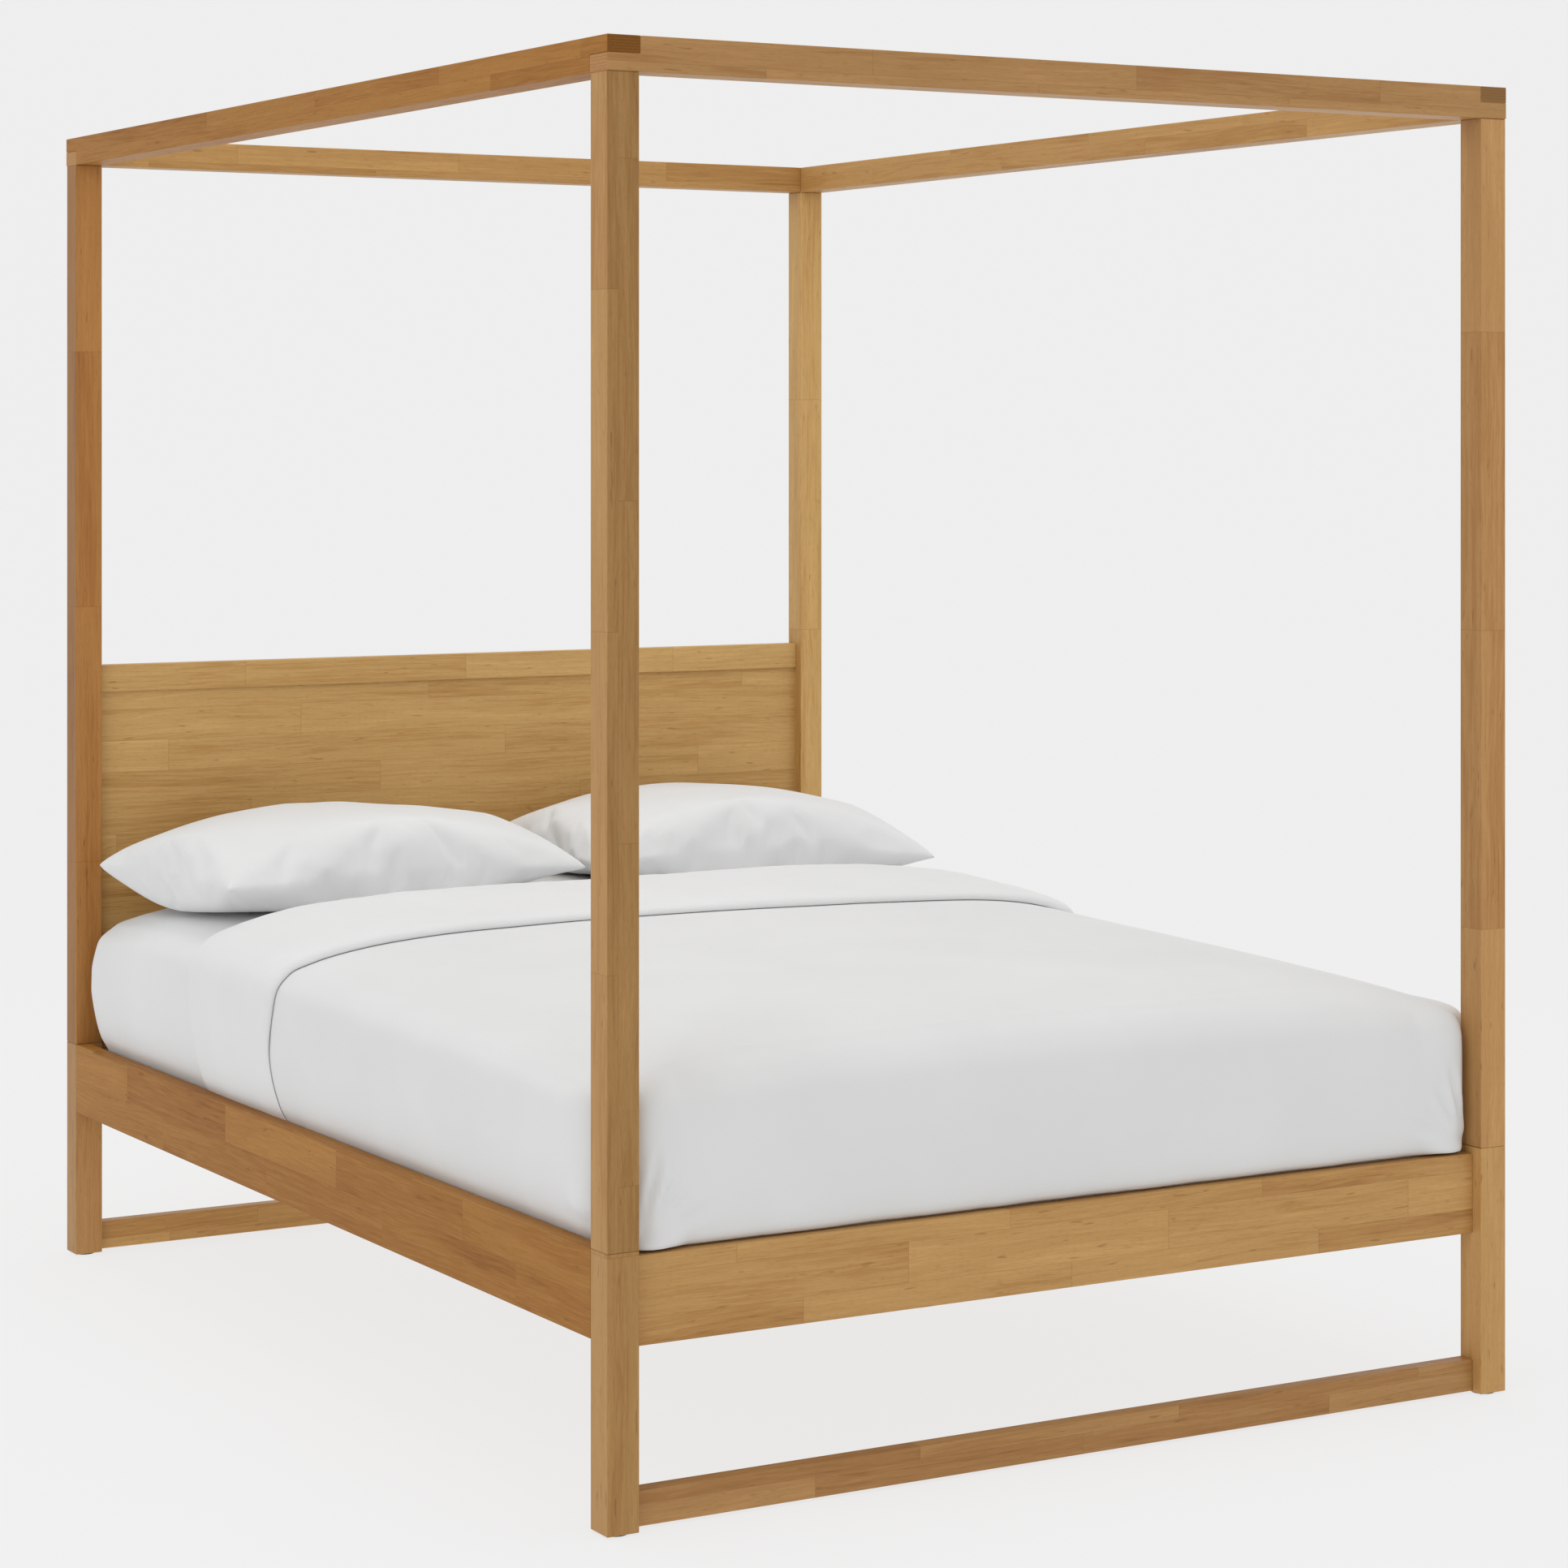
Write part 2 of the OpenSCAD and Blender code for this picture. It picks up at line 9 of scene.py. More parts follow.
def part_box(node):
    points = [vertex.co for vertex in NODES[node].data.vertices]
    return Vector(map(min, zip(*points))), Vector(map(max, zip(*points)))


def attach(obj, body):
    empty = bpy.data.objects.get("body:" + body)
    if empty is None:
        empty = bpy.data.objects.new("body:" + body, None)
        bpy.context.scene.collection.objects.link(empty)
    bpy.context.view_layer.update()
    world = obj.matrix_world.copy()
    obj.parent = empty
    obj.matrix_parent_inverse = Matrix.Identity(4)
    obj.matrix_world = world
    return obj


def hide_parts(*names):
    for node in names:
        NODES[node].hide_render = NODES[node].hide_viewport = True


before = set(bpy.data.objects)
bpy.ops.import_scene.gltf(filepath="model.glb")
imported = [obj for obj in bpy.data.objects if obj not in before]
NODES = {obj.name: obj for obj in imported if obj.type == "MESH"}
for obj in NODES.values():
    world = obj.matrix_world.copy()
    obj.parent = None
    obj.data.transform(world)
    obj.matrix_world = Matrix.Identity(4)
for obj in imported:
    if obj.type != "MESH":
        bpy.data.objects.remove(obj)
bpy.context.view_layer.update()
SCENE = bpy.context.scene

FRAME_BODY = "frame"
MATTRESS_BODY = "made_up_mattress"


# ---------------------------------------------------------------- camera

CAMERA_PLACE = (-3.232, -5.705, 1.507)
CAMERA_TURN = math.radians(-30.36)


def make_camera():
    """A level camera whose picture is shifted down, so that the posts stay parallel."""
    data = bpy.data.cameras.new("camera")
    data.sensor_width = 36.0
    data.lens = 87.75
    data.shift_y = -0.2207
    data.clip_end = 100
    cam = bpy.data.objects.new("camera", data)
    cam.location = CAMERA_PLACE
    cam.rotation_euler = (math.radians(90), 0, CAMERA_TURN)
    SCENE.collection.objects.link(cam)
    SCENE.camera = cam


# ---------------------------------------------------------------- shader helpers

class Shader:
    """A material's node tree, built by calls that return sockets."""

    def __init__(self, name):
        self.mat = bpy.data.materials.new(name)
        self.mat.use_nodes = True
        self.tree = self.mat.node_tree
        self.bsdf = self.tree.nodes["Principled BSDF"]

    def add(self, kind, inputs=None, out=0, **props):
        node = self.tree.nodes.new(kind)
        for key, value in props.items():
            setattr(node, key, value)
        for key, value in (inputs or {}).items():
            self.put(node.inputs[key], value)
        return node.outputs[out]

    def put(self, socket, value):
        if isinstance(value, bpy.types.NodeSocket):
            self.tree.links.new(value, socket)
        elif socket.type == "RGBA":
            socket.default_value = (*value, 1.0)
        else:
            socket.default_value = value

    def math(self, op, a, b=None, clamp=False):
        inputs = {0: a} if b is None else {0: a, 1: b}
        return self.add("ShaderNodeMath", inputs, operation=op, use_clamp=clamp)

    def ramp(self, fac, stops):
        node = self.tree.nodes.new("ShaderNodeValToRGB")
        self.put(node.inputs[0], fac)
        ramp = node.color_ramp
        ramp.interpolation = "EASE"
        while len(ramp.elements) < len(stops):
            ramp.elements.new(0.5)
        for element, (at, colour) in zip(ramp.elements, stops):
            element.position = at
            element.color = (*colour, 1.0)
        return node.outputs[0]

    def range(self, value, low, high, to_low=0.0, to_high=1.0):
        return self.add("ShaderNodeMapRange", {0: value, 1: low, 2: high, 3: to_low, 4: to_high})

    def noise(self, vector, scale=1.0, detail=2.0, distortion=0.0):
        return self.add("ShaderNodeTexNoise", {"Vector": vector, "Scale": scale, "Detail": detail,
                                               "Distortion": distortion})

    def vec(self, x, y, z):
        return self.add("ShaderNodeCombineXYZ", {0: x, 1: y, 2: z})

    def mix(self, fac, a, b, blend="MIX"):
        node = self.tree.nodes.new("ShaderNodeMix")
        node.data_type = "RGBA"
        node.blend_type = blend
        self.put(node.inputs[0], fac)
        self.put(node.inputs[6], a)
        self.put(node.inputs[7], b)
        return node.outputs[2]

    def bump(self, height, strength, distance):
        return self.add("ShaderNodeBump", {"Height": height, "Strength": strength,
                                           "Distance": distance})

    def xyz(self, vector):
        node = self.tree.nodes.new("ShaderNodeSeparateXYZ")
        self.put(node.inputs[0], vector)
        return node.outputs[0], node.outputs[1], node.outputs[2]

    def coords(self):
        node = self.tree.nodes.new("ShaderNodeTexCoord")
        return node.outputs["Object"], node.outputs["Normal"]


def linear(r, g, b):
    """A linear colour from 0 to 255 display values."""
    return tuple(((c / 255 + 0.055) / 1.055) ** 2.4 if c > 10 else c / 3294 for c in (r, g, b))


def scaled(colour, k):
    return tuple(min(1.0, c * k) for c in colour)


# ---------------------------------------------------------------- materials

def wood(name, axis, tone, seed, board=0.06, block=0.42, patch=0.44, gloss=1.0, end_tone=0.68,
         face=None, face_tone_and_shade=1.0):
    """Oiled rubberwood glued from blocks: grain along axis, tone the colour of a middling block.
    Boards are board wide and block long, and patch is how far their tones differ. End grain is
    about end_tone times as bright. Faces that look along the axis called face are face_tone_and_shade times
    as bright: partly the glued boards' own tone, partly painted light and shade for which way the
    face looks."""
    s = Shader(name)
    place, normal = s.coords()
    p, n = s.xyz(place), s.xyz(normal)
    order = {"X": (0, 2, 1), "Y": (1, 2, 0), "Z": (2, 0, 1)}[axis]
    u, v, w = (s.math("ADD", p[i], seed * k) for i, k in zip(order, (1.37, 0.113, 0.171)))

    # glued blocks
    row = s.math("FLOOR", s.math("DIVIDE", v, board))
    cell_u = s.math("ADD", s.math("DIVIDE", u, block), s.math("MULTIPLY", row, 0.618))
    column = s.math("FLOOR", cell_u)
    cell = s.add("ShaderNodeTexWhiteNoise", {"Vector": s.vec(column, row, seed)}, out=0)
    shift = s.math("MULTIPLY", cell, 7.0)
    inside = s.math("FRACT", cell_u)
    edge_u = s.math("MINIMUM", inside, s.math("SUBTRACT", 1.0, inside))
    glue_u = s.range(edge_u, 0.0, 0.0012 / block, 1.0, 0.0)
    inside_v = s.math("FRACT", s.math("DIVIDE", v, board))
    edge_v = s.math("MINIMUM", inside_v, s.math("SUBTRACT", 1.0, inside_v))
    glue_v = s.range(edge_v, 0.0, 0.0007 / board, 1.0, 0.0)
    glue = s.math("MAXIMUM", glue_u, glue_v)

    # growth: broad bands, flame figure, fine streaks and pores
    sway = s.noise(s.vec(s.math("MULTIPLY", u, 2.4), s.math("MULTIPLY", v, 5), s.math("ADD", w, shift)),
                   detail=1.0)
    across = s.math("ADD", s.math("ADD", v, s.math("MULTIPLY", w, 0.6)),
                    s.math("MULTIPLY", sway, 0.030))
    broad = s.noise(s.vec(s.math("MULTIPLY", u, 2.6), s.math("MULTIPLY", across, 34),
                          s.math("ADD", s.math("MULTIPLY", w, 34), shift)), detail=3.0, distortion=0.5)
    rings = s.math("SINE", s.math("ADD", s.math("MULTIPLY", across, 620.0), s.math("MULTIPLY", broad, 9.0)))
    streak = s.noise(s.vec(s.math("MULTIPLY", u, 16), s.math("MULTIPLY", across, 390),
                           s.math("ADD", s.math("MULTIPLY", w, 390), shift)), detail=2.0)
    pores = s.noise(s.vec(s.math("MULTIPLY", u, 75), s.math("MULTIPLY", v, 1250),
                          s.math("ADD", s.math("MULTIPLY", w, 1250), shift)), detail=0.0)
    pore = s.range(pores, 0.62, 0.74)
    fleck = s.range(s.noise(s.vec(s.math("MULTIPLY", u, 26), s.math("MULTIPLY", v, 150),
                                  s.math("ADD", s.math("MULTIPLY", w, 150), shift)), detail=1.0),
                    0.70, 0.78)

    value = s.math("ADD", s.math("MULTIPLY", s.math("SUBTRACT", cell, 0.5), patch),
                   s.math("MULTIPLY", s.math("SUBTRACT", broad, 0.5), 1.05))
    value = s.math("ADD", value, s.math("MULTIPLY", rings, 0.045))
    value = s.math("ADD", value, s.math("MULTIPLY", s.math("SUBTRACT", streak, 0.5), 0.72))
    value = s.math("ADD", value, 0.5)
    base = linear(*tone)
    dark = (base[0] * 0.66, base[1] * 0.56, base[2] * 0.46)
    warm = (base[0] * 0.88, base[1] * 0.81, base[2] * 0.72)
    light = (base[0] * 1.16, base[1] * 1.19, base[2] * 1.24)
    colour = s.ramp(value, [(0.0, dark), (0.3, warm), (0.56, base), (1.0, light)])
    colour = s.mix(s.math("MULTIPLY", pore, 0.30), colour, dark)
    colour = s.mix(s.math("MULTIPLY", fleck, 0.5), colour, scaled(dark, 0.75))
    colour = s.mix(s.math("MULTIPLY", glue, 0.34), colour, scaled(dark, 0.8))

    # end grain, with small rings
    looks = {"X": n[0], "Y": n[1], "Z": n[2]}
    end = s.range(s.math("ABSOLUTE", looks[axis]), 0.72, 0.78)
    speck = s.noise(s.vec(0.0, s.math("MULTIPLY", v, 700), s.math("MULTIPLY", w, 700)), detail=2.0)
    arcs = s.math("SINE", s.math("ADD", s.math("MULTIPLY", v, 1500.0), s.math("MULTIPLY", sway, 30.0)))
    end_value = s.math("ADD", speck, s.math("MULTIPLY", arcs, 0.08))
    end_colour = s.ramp(end_value, [(0.3, scaled(dark, 0.92 * end_tone)),
                                    (0.7, scaled(warm, 1.06 * end_tone))])
    colour = s.mix(end, colour, end_colour)
    # painted light and shade: faces that look along face are made face_tone_and_shade times as bright,
    # partly the boards' own tone and partly shade for how the light falls on them
    if face:
        side = s.range(s.math("ABSOLUTE", looks[face]), 0.6, 0.8, 1.0, face_tone_and_shade)
        colour = s.mix(1.0, colour, s.vec(side, side, side), "MULTIPLY")

    s.put(s.bsdf.inputs["Base Color"], colour)
    rough = s.range(streak, 0.3, 0.7, 0.50, 0.40)
    s.put(s.bsdf.inputs["Roughness"], rough)
    s.put(s.bsdf.inputs["Specular IOR Level"], 0.22 * gloss)
    s.put(s.bsdf.inputs["Coat Weight"], 0.05 * gloss)
    s.put(s.bsdf.inputs["Coat Roughness"], 0.30)
    height = s.math("SUBTRACT", s.math("MULTIPLY", streak, 0.6),
                    s.math("ADD", s.math("MULTIPLY", pore, 0.5), s.math("MULTIPLY", glue, 0.8)))
    s.put(s.bsdf.inputs["Normal"], s.bump(height, 0.35, 0.0006))
    return s.mat


def cloth(name, colour, pitch=0.0009, slub=0.5, sheen=0.25):
    """Woven cotton: a plain weave at its real pitch, slubs in the yarn and a soft nap."""
    s = Shader(name)
    place, normal = s.coords()
    p, n = s.xyz(place), s.xyz(normal)
    turn = 2 * math.pi / pitch
    waves = [s.math("SINE", s.math("MULTIPLY", c, turn)) for c in p]
    share = [s.math("MULTIPLY", c, c) for c in n]
    weave = s.math("MULTIPLY", s.math("MULTIPLY", waves[0], waves[1]), share[2])
    weave = s.math("ADD", weave, s.math("MULTIPLY", s.math("MULTIPLY", waves[1], waves[2]), share[0]))
    weave = s.math("ADD", weave, s.math("MULTIPLY", s.math("MULTIPLY", waves[0], waves[2]), share[1]))
    yarn = s.noise(s.vec(s.math("MULTIPLY", p[0], 900), s.math("MULTIPLY", p[1], 90),
                         s.math("MULTIPLY", p[2], 300)), detail=2.0)
    cloudy = s.noise(place, scale=5.0, detail=3.0)
    value = s.math("ADD", s.math("MULTIPLY", s.math("SUBTRACT", yarn, 0.5), 0.35 * slub),
                   s.math("MULTIPLY", s.math("SUBTRACT", cloudy, 0.5), 0.5))
    value = s.math("ADD", value, 0.5)
    tint = s.ramp(value, [(0.2, scaled(colour, 0.955)), (0.8, scaled(colour, 1.02))])
    shade = s.range(weave, -1.0, 1.0, 0.985, 1.0)
    s.put(s.bsdf.inputs["Base Color"], s.mix(1.0, tint, s.vec(shade, shade, shade), "MULTIPLY"))
    s.put(s.bsdf.inputs["Roughness"], s.range(yarn, 0.3, 0.7, 0.86, 0.94))
    s.put(s.bsdf.inputs["Sheen Weight"], sheen)
    s.put(s.bsdf.inputs["Sheen Roughness"], 0.5)
    s.put(s.bsdf.inputs["Specular IOR Level"], 0.25)
    height = s.math("ADD", s.math("MULTIPLY", weave, 0.5), s.math("MULTIPLY", yarn, slub))
    s.put(s.bsdf.inputs["Normal"], s.bump(height, 0.25, 0.0003))
    return s.mat


def quilt(name, colour):
    """Mattress ticking: a knit stitched in diamonds about 60 mm apart, with painted shade along the
    stitched dips.
    """
    s = Shader(name)
    place, _ = s.coords()
    x, y, _ = s.xyz(place)
    across = [s.math(op, x, y) for op in ("ADD", "SUBTRACT")]
    rows = [s.math("ABSOLUTE", s.math("SINE", s.math("MULTIPLY", a, math.pi / 0.085))) for a in across]
    puff = s.math("MINIMUM", *rows)
    line = s.range(puff, 0.0, 0.10, 1.0, 0.0)
    knit = s.noise(place, scale=1400.0, detail=1.0)
    # painted shade: the colour darkens along the stitched dips between the puffs
    tint = s.mix(s.math("MULTIPLY", line, 0.35), colour, scaled(colour, 0.7))
    s.put(s.bsdf.inputs["Base Color"], tint)
    s.put(s.bsdf.inputs["Roughness"], 0.92)
    s.put(s.bsdf.inputs["Sheen Weight"], 0.2)
    height = s.math("ADD", s.math("POWER", puff, 0.6), s.math("MULTIPLY", knit, 0.05))
    s.put(s.bsdf.inputs["Normal"], s.bump(height, 0.6, 0.004))
    return s.mat


def steel(name, colour):
    """Zinc-plated steel with fine drawing marks."""
    s = Shader(name)
    place, _ = s.coords()
    x, y, z = s.xyz(place)
    marks = s.noise(s.vec(s.math("MULTIPLY", x, 2500), s.math("MULTIPLY", y, 400),
                          s.math("MULTIPLY", z, 80)), detail=2.0)
    cloudy = s.noise(place, scale=60.0, detail=2.0)
    tint = s.mix(cloudy, scaled(colour, 0.86), scaled(colour, 1.08))
    s.put(s.bsdf.inputs["Base Color"], tint)
    s.put(s.bsdf.inputs["Metallic"], 1.0)
    s.put(s.bsdf.inputs["Roughness"], s.range(marks, 0.2, 0.8, 0.26, 0.44))
    s.put(s.bsdf.inputs["Normal"], s.bump(marks, 0.15, 0.0002))
    return s.mat


def moulded(name, colour):
    """Moulded plastic with a fine spark-eroded texture."""
    s = Shader(name)
    place, _ = s.coords()
    grain = s.noise(place, scale=1800.0, detail=2.0)
    s.put(s.bsdf.inputs["Base Color"], s.mix(grain, scaled(colour, 0.9), scaled(colour, 1.15)))
    s.put(s.bsdf.inputs["Roughness"], s.range(grain, 0.3, 0.7, 0.5, 0.62))
    s.put(s.bsdf.inputs["Normal"], s.bump(grain, 0.2, 0.0003))
    return s.mat


# ---------------------------------------------------------------- hard parts

def dress(name, material):
    """Gives a CAD node its material."""
    for slot in NODES[name].material_slots:
        slot.material = material


def eased(name, material, axes, ease=0.0016):
    """A wooden piece that replaces a CAD node: the same shape, with the long edges eased that lie
    on both extremes of the axes named. The node's own mesh is left alone."""
    mesh = NODES[name].data.copy()
    mesh.polygons.foreach_set("use_smooth", [False] * len(mesh.polygons))
    normals = mesh.attributes.get("custom_normal")
    if normals:
        mesh.attributes.remove(normals)
    ob = bpy.data.objects.new(name + "_wood", mesh)
    SCENE.collection.objects.link(ob)
    low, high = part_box(name)
    group = ob.vertex_groups.new(name="eased")
    picked = [v.index for v in mesh.vertices
              if all(min(abs(v.co[a] - low[a]), abs(v.co[a] - high[a])) < 1e-5 for a in axes)]
    group.add(picked, 1.0, "REPLACE")
    weld = ob.modifiers.new("weld", "WELD")
    weld.merge_threshold = 1e-5
    flat = ob.modifiers.new("flat", "DECIMATE")
    flat.decimate_type = "DISSOLVE"
    flat.angle_limit = math.radians(0.5)
    bevel = ob.modifiers.new("eased", "BEVEL")
    bevel.width = ease
    bevel.segments = 3
    bevel.limit_method = "VGROUP"
    bevel.vertex_group = "eased"
    bevel.use_clamp_overlap = False
    finish_piece(ob, FRAME_BODY, material, [name])


# The colours of the stain's middling blocks, from the palest wood to the darkest. Which one each
# piece gets is partly its own tone and partly painted light and shade: lighter where a piece gets
# less light, darker where it gets more.
TONES = {"straw": (198, 158, 98), "honey": (192, 148, 90), "amber": (183, 139, 82),
         "fawn": (175, 131, 80), "tan": (168, 117, 55), "russet": (158, 109, 56)}


def dress_hard_parts():
    x, y, z = 0, 1, 2
    post = dict(board=0.2, block=0.47, patch=0.24, face="Y")
    rail = dict(board=0.060, block=0.46)
    # the last number is each post's face_tone_and_shade: its Y-facing faces' own tone and painted light and
    # shade together
    posts = [
        ("lower_post_foot_left", "amber", 3.1, 0.86),
        ("upper_post_foot_left", "amber", 8.7, 0.80),
        ("lower_post_foot_right", "honey", 5.3, 1.0),
        ("upper_post_foot_right", "fawn", 6.9, 1.22),
        ("lower_post_head_left", "fawn", 11.3, 1.12),
        ("upper_post_head_left", "russet", 12.9, 1.24),
        ("lower_post_head_right", "straw", 15.1, 1.0),
        ("upper_post_head_right", "straw", 17.7, 1.08),
    ]
    for name, tone, seed, front in posts:
        material = wood("wood_" + name, "Z", TONES[tone], seed, face_tone_and_shade=front, **post)
        eased(name, material, (x, y))
    # each rail's tone is partly its own and partly painted light and shade
    rails = [
        ("canopy_rail_left", "Y", "tan", 21.3, (x,)),
        ("canopy_rail_right", "Y", "amber", 23.9, (x,)),
        ("canopy_rail_foot", "X", "fawn", 25.1, (y,)),
        ("canopy_rail_head", "X", "amber", 28.3, (y,)),
        ("headboard_cap_rail", "X", "straw", 31.7, (y, z)),
        ("headboard_lower_rail", "X", "honey", 33.1, (y, z)),
        ("head_stretcher", "X", "honey", 35.9, (y, z)),
        ("foot_rail", "X", "honey", 38.3, (y, z)),
        ("foot_stretcher", "X", "fawn", 41.1, (y, z)),
        ("side_rail_left", "Y", "tan", 44.9, (x, z)),
        ("side_rail_right", "Y", "fawn", 47.3, (x, z)),
    ]
    for name, axis, tone, seed, axes in rails:
        gloss = 0.35 if name in ("side_rail_left", "canopy_rail_left") else 1.0
        end = 1.25 if name in ("canopy_rail_foot", "canopy_rail_head") else 0.68
        material = wood("wood_" + name, axis, TONES[tone], seed, gloss=gloss, end_tone=end, **rail)
        eased(name, material, axes)
    dress("headboard_panel", wood("wood_headboard_panel", "X", TONES["straw"], 51.7, board=0.058,
                                  block=0.70, patch=0.26))
    pine = [(f"slat_{i:02d}", "X", (x, z)) for i in range(1, 13)]
    pine += [("slat_ledger_left", "Y", (x, z)), ("slat_ledger_right", "Y", (x, z)),
             ("centre_beam", "Y", (x, z)), ("centre_leg", "Z", (x, y))]
    for i, (name, axis, axes) in enumerate(pine):
        material = wood("pine_" + name, axis, (214, 186, 140), 60 + 2.3 * i, board=0.5, block=1.1)
        eased(name, material, axes, 0.0012)
    dress("canopy_dowels", wood("pine_dowels", "Z", (206, 176, 128), 97.0, board=0.5, block=1.0))
    zinc = steel("zinc", (0.62, 0.63, 0.65))
    for name in ("post_pins", "canopy_bolts", "threaded_inserts", "rail_hook_plates",
                 "hook_plate_screws", "post_keeper_plates", "keeper_plate_screws",
                 "ledger_screws", "slat_screws", "beam_hangers", "hanger_screws",
                 "leg_hanger_bolt"):
        dress(name, zinc)
    nylon = moulded("nylon", (0.028, 0.028, 0.030))
    dress("post_glides", nylon)
    dress("levelling_foot", nylon)


# ---------------------------------------------------------------- the made-up bed's form

HALF_W, FOOT, HEAD = 0.795, 1.055, 1.018        # the widest outline, from the middle of the bed
TOP_W, TOP_FOOT, TOP_HEAD = 0.715, 0.967, 0.930  # where its top starts to round over
TUCK = 0.38          # height at which the covers meet the rails
UNDERSIDE = 0.3108   # height of the mattress's underside

# Inset from the widest outline and height, from the top's edge down to the tuck
SIDE_PROFILE = [(0.080, 0.648), (0.037, 0.6345), (0.022, 0.624), (0.009, 0.609), (0.003, 0.589),
                (0.0, 0.543), (0.0, 0.500), (0.006, 0.450), (0.015, 0.412), (0.0225, 0.395),
                (0.0265, 0.386), (0.029, 0.360), (0.030, 0.335)]
FOOT_PROFILE = [(0.088, 0.647), (0.051, 0.633), (0.030, 0.616), (0.015, 0.593), (0.007, 0.560),
                (0.0, 0.515), (0.0, 0.470), (0.004, 0.430), (0.009, 0.400), (0.012, 0.388),
                (0.0165, 0.3823), (0.024, 0.3812), (0.0335, 0.3765), (0.035, 0.340)]

# The outline's left corners, seen from above: squeezed round the foot post, plain at the head
FOOT_CORNER = [(-0.795, -0.900), (-0.795, -0.940), (-0.793, -0.970), (-0.783, -0.996),
               (-0.768, -1.0085), (-0.755, -1.0145), (-0.7465, -1.0215), (-0.744, -1.031),
               (-0.7395, -1.042), (-0.728, -1.051), (-0.708, -1.0545), (-0.680, -1.055),
               (-0.650, -1.055)]
HEAD_CORNER = [(-0.650, 1.018), (-0.715, 1.018), (-0.750, 1.015), (-0.778, 1.000),
               (-0.792, 0.972), (-0.795, 0.930), (-0.795, 0.870)]


def curve_through(points, count):
    """count points, evenly spaced along a smooth curve through the given ones."""
    p = np.array(points, float)
    p = np.vstack([2 * p[0] - p[1], p, 2 * p[-1] - p[-2]])
    t = np.linspace(0, 1, 16, endpoint=False)[:, None]
    parts = []
    for a, b, c, d in zip(p, p[1:], p[2:], p[3:]):
        parts.append(0.5 * (2 * b + (c - a) * t + (2 * a - 5 * b + 4 * c - d) * t ** 2
                            + (3 * b - a - 3 * c + d) * t ** 3))
    fine = np.vstack(parts + [p[-2][None]])
    run = np.concatenate([[0], np.cumsum(np.linalg.norm(np.diff(fine, axis=0), axis=1))])
    at = np.linspace(0, run[-1], count)
    return np.stack([np.interp(at, run, fine[:, i]) for i in range(p.shape[1])], axis=1)


def smoothstep(t):
    t = np.clip(t, 0, 1)
    return t * t * (3 - 2 * t)


def top_height(x, y):
    """Height of the bedding's top, crowned in the middle and drooping to its four edges."""
    u = np.abs(x) / TOP_W
    s = np.clip(0.06 - y, 0, None) / 1.1
    h = np.clip(y - 0.5, 0, None) / 0.5
    return 0.683 - 0.008 * u ** 2 - 0.027 * u ** 6 - 0.024 * s - 0.023 * s ** 8 - 0.018 * h ** 2


def outer_point(x, y):
    """The widest outline's point beyond a point of the top's edge, how much of the foot's
    profile applies there, and how far round the foot's corner it is."""
    if x > 0:
        (ox, oy), share, q = outer_point(-x, y)
        return (-ox, oy), share, q
    if y > 0.87 or y >= TOP_HEAD - 1e-9:
        if x > -0.65:
            return (x, HEAD), 0.0, 0.0
        on_side = abs(x + TOP_W) < 1e-9
        q = 0.5 + 0.5 * (TOP_HEAD - y) / (TOP_HEAD - 0.87) if on_side else 0.5 * (-0.65 - x) / 0.065
        return HEAD_PATH(q), 0.0, 0.0
    if y > -0.90:
        return (-HALF_W, y), 0.0, 0.0
    if x > -0.65:
        return (x, -FOOT), 1.0, 0.0
    on_side = abs(x + TOP_W) < 1e-9
    q = 0.5 * (-0.90 - y) / (TOP_FOOT - 0.90) if on_side else 0.5 + 0.5 * (x + TOP_W) / 0.065
    return FOOT_PATH(q), float(smoothstep((q - 0.25) / 0.5)), q


def path_of(points):
    fine = curve_through(points, 241)
    return lambda q: tuple(np.interp(q * 240, np.arange(241), fine[:, i]) for i in (0, 1))


FOOT_PATH, HEAD_PATH = path_of(FOOT_CORNER), path_of(HEAD_CORNER)


def grid_lines(low, high, edge, fine, coarse):
    """Positions from low to high, closer together within edge of each end."""
    return np.concatenate([np.linspace(low, low + edge, fine, endpoint=False),
                           np.linspace(low + edge, high - edge, coarse),
                           np.linspace(high - edge, high, fine + 1)[1:]])


